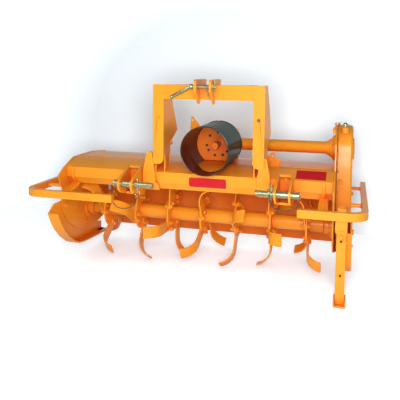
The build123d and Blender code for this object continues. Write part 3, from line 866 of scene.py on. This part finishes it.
def white_ground(name, seen_share, mirrored):
    """White surface: glow and shadow to the eye, a set brightness in mirrors, paint to other light.

    Gives back the material, its tree, its last shader and its output; node glow holds the glow."""
    material, tree, shader = new_finish(name)
    shader.inputs["Base Color"].default_value = (0.72, 0.72, 0.73, 1)
    shader.inputs["Roughness"].default_value = 0.9
    shader.inputs["Specular IOR Level"].default_value = 0.0
    path = tree.nodes.new("ShaderNodeLightPath")
    light = tree.nodes.new("ShaderNodeEmission")
    light.name = "glow"
    seen_paint = tree.nodes.new("ShaderNodeBsdfDiffuse")
    seen_paint.inputs["Color"].default_value = (seen_share * 0.87, seen_share * 0.95, seen_share, 1)
    both = tree.nodes.new("ShaderNodeAddShader")
    tree.links.new(light.outputs[0], both.inputs[0])
    tree.links.new(seen_paint.outputs[0], both.inputs[1])
    to_eye = tree.nodes.new("ShaderNodeMixShader")
    tree.links.new(path.outputs["Is Camera Ray"], to_eye.inputs["Fac"])
    tree.links.new(shader.outputs[0], to_eye.inputs[1])
    tree.links.new(both.outputs[0], to_eye.inputs[2])
    reflected = tree.nodes.new("ShaderNodeEmission")
    reflected.name = "reflected"
    reflected.inputs["Strength"].default_value = mirrored
    polished = tree.nodes.new("ShaderNodeMath")
    polished.operation = "MAXIMUM"
    tree.links.new(path.outputs["Is Glossy Ray"], polished.inputs[0])
    tree.links.new(path.outputs["Is Transmission Ray"], polished.inputs[1])
    pick = tree.nodes.new("ShaderNodeMixShader")
    tree.links.new(polished.outputs[0], pick.inputs["Fac"])
    tree.links.new(to_eye.outputs[0], pick.inputs[1])
    tree.links.new(reflected.outputs[0], pick.inputs[2])
    return material, tree, pick, tree.nodes["Material Output"]


def flat_stage(name, corners, material):
    """Flat four-cornered piece of the studio, which isn't part of the machine."""
    mesh = bpy.data.meshes.new(name)
    mesh.from_pydata(corners, [], [(0, 1, 2, 3)])
    sheet = bpy.data.objects.new(name, mesh)
    bpy.context.collection.objects.link(sheet)
    mesh.materials.append(material)
    return sheet


FLOOR_GLOW, SCREEN_GLOW, EDGE_GLOW = 0.55, 0.0, 0.45
HALF_FLOOR, HALF_SCREEN, SCREEN_Y, SCREEN_TOP = 14, 7, 0.82, 6
ground, tree, pick, out = white_ground("white_floor", 0.72, 0.6)
tree.links.new(pick.outputs[0], out.inputs["Surface"])
# Painted shade: ambient occlusion dims the floor's glow under and near the machine.
under = tree.nodes.new("ShaderNodeAmbientOcclusion")
under.inputs["Distance"].default_value = 0.42
under.samples = 12
shade = tree.nodes.new("ShaderNodeMapRange")
shade.inputs["From Min"].default_value = 0.25
shade.inputs["From Max"].default_value = 0.92
shade.inputs["To Min"].default_value = 0.22
shade.inputs["To Max"].default_value = FLOOR_GLOW
tree.links.new(under.outputs["AO"], shade.inputs["Value"])
tree.links.new(shade.outputs[0], tree.nodes["glow"].inputs["Strength"])
signs = ((-1, -1), (1, -1), (1, 1), (-1, 1))
flat_stage("studio_floor", [(x * HALF_FLOOR, y * HALF_FLOOR, 0) for x, y in signs], ground)
canvas, tree, pick, out = white_ground("white_screen", 0.74, 0.9)
side = tree.nodes.new("ShaderNodeNewGeometry")
clear = tree.nodes.new("ShaderNodeBsdfTransparent")
front_only = tree.nodes.new("ShaderNodeMixShader")
tree.links.new(side.outputs["Backfacing"], front_only.inputs["Fac"])
tree.links.new(pick.outputs[0], front_only.inputs[1])
tree.links.new(clear.outputs[0], front_only.inputs[2])
tree.links.new(front_only.outputs[0], out.inputs["Surface"])
fade = tree.nodes.new("ShaderNodeMapRange")
fade.inputs["From Min"].default_value = 0.9
fade.inputs["From Max"].default_value = 2.2
fade.inputs["To Min"].default_value = 0.68
fade.inputs["To Max"].default_value = 0.15
place = tree.nodes.new("ShaderNodeSeparateXYZ")
tree.links.new(side.outputs["Position"], place.inputs[0])
tree.links.new(place.outputs["Z"], fade.inputs["Value"])
tree.links.new(fade.outputs[0], tree.nodes["reflected"].inputs["Strength"])
reach = tree.nodes.new("ShaderNodeVectorMath")
reach.operation = "DISTANCE"
reach.inputs[1].default_value = (-0.15, SCREEN_Y, 0.55)
edge = tree.nodes.new("ShaderNodeMapRange")
edge.inputs["From Min"].default_value = 0.9
edge.inputs["From Max"].default_value = 1.45
edge.inputs["To Min"].default_value = SCREEN_GLOW
edge.inputs["To Max"].default_value = EDGE_GLOW
tree.links.new(side.outputs["Position"], reach.inputs[0])
tree.links.new(reach.outputs["Value"], edge.inputs["Value"])
tree.links.new(edge.outputs[0], tree.nodes["glow"].inputs["Strength"])
corners = [(x * HALF_SCREEN, SCREEN_Y, SCREEN_TOP * (up > 0)) for x, up in signs]
screen = flat_stage("studio_screen", corners, canvas)
screen.visible_diffuse = False
screen.visible_shadow = False

world = bpy.data.worlds.new("studio")
bpy.context.scene.world = world
world.use_nodes = True
tree = world.node_tree
tree.nodes.clear()
out = tree.nodes.new("ShaderNodeOutputWorld")
soft = tree.nodes.new("ShaderNodeBackground")
soft.inputs["Color"].default_value = (0.95, 0.97, 1, 1)
soft.inputs["Strength"].default_value = 0.20
seen = tree.nodes.new("ShaderNodeBackground")
seen.inputs["Color"].default_value = (1, 1, 1, 1)
path = tree.nodes.new("ShaderNodeLightPath")
mirror = tree.nodes.new("ShaderNodeMath")
mirror.operation = "MAXIMUM"
glass = tree.nodes.new("ShaderNodeMath")
glass.operation = "MAXIMUM"
tree.links.new(path.outputs["Is Camera Ray"], mirror.inputs[0])
tree.links.new(path.outputs["Is Glossy Ray"], mirror.inputs[1])
tree.links.new(mirror.outputs[0], glass.inputs[0])
tree.links.new(path.outputs["Is Transmission Ray"], glass.inputs[1])
pick = tree.nodes.new("ShaderNodeMixShader")
tree.links.new(glass.outputs[0], pick.inputs["Fac"])
tree.links.new(soft.outputs[0], pick.inputs[1])
tree.links.new(seen.outputs[0], pick.inputs[2])
tree.links.new(pick.outputs[0], out.inputs["Surface"])
# Polished parts see the room itself: white behind the machine, dim overhead and by the lamps.
heading = tree.nodes.new("ShaderNodeTexCoord")
parts = tree.nodes.new("ShaderNodeSeparateXYZ")
tree.links.new(heading.outputs["Generated"], parts.inputs[0])
behind = tree.nodes.new("ShaderNodeMapRange")
behind.inputs["From Min"].default_value = -0.1
behind.inputs["From Max"].default_value = 0.5
overhead = tree.nodes.new("ShaderNodeMapRange")
overhead.inputs["From Min"].default_value = 0.55
overhead.inputs["From Max"].default_value = 0.15
tree.links.new(parts.outputs["Y"], behind.inputs["Value"])
tree.links.new(parts.outputs["Z"], overhead.inputs["Value"])
bright = tree.nodes.new("ShaderNodeMath")
bright.operation = "MULTIPLY_ADD"
product = tree.nodes.new("ShaderNodeMath")
product.operation = "MULTIPLY"
tree.links.new(behind.outputs[0], product.inputs[0])
tree.links.new(overhead.outputs[0], product.inputs[1])
tree.links.new(product.outputs[0], bright.inputs[0])
bright.inputs[1].default_value = 0.78
bright.inputs[2].default_value = 0.22
level = tree.nodes.new("ShaderNodeMix")
level.inputs["B"].default_value = 1.0
tree.links.new(path.outputs["Is Camera Ray"], level.inputs["Factor"])
tree.links.new(bright.outputs[0], level.inputs["A"])
tree.links.new(level.outputs["Result"], seen.inputs["Strength"])

# Each lamp has its place and width in metres, its watts, and whether polished faces mirror it.
MIDDLE = Vector((0, 0, 0.5))
LAMPS = (("front", (0.765, -2.83, 1.20), 1.0, 60, True),
         ("key", (-1.9, -2.6, 2.7), 1.0, 20, True),
         ("rear_left", (-2.6, 2.8, 0.8), 1.2, 44, False),
         ("rear_right", (2.6, 2.8, 0.8), 1.2, 44, False))
for name, place, size, watts, mirrored in LAMPS:
    lamp = bpy.data.objects.new(f"lamp_{name}", bpy.data.lights.new(f"lamp_{name}", "AREA"))
    bpy.context.collection.objects.link(lamp)
    lamp.data.shape = "SQUARE"
    lamp.data.size = size
    lamp.data.energy = watts
    lamp.location = place
    lamp.rotation_euler = (MIDDLE - Vector(place)).to_track_quat("-Z", "Y").to_euler()
    lamp.visible_glossy = mirrored

# A lamp right by the camera is linked to the ground alone, so that it is white with a soft grey
# outline of shade round the machine. The machine gets only what the ground throws back.
lit_ground = bpy.data.collections.new("lit_ground")
lit_ground.objects.link(screen)
lit_ground.objects.link(bpy.data.objects["studio_floor"])
lamp = bpy.data.objects.new("lamp_ground", bpy.data.lights.new("lamp_ground", "AREA"))
bpy.context.collection.objects.link(lamp)
lamp.data.shape = "DISK"
lamp.data.size = 1.0
lamp.data.energy = 105
lamp.location = (0.765, -2.80, 1.06)
lamp.rotation_euler = (MIDDLE - lamp.location).to_track_quat("-Z", "Y").to_euler()
lamp.visible_glossy = False
lamp.light_linking.receiver_collection = lit_ground
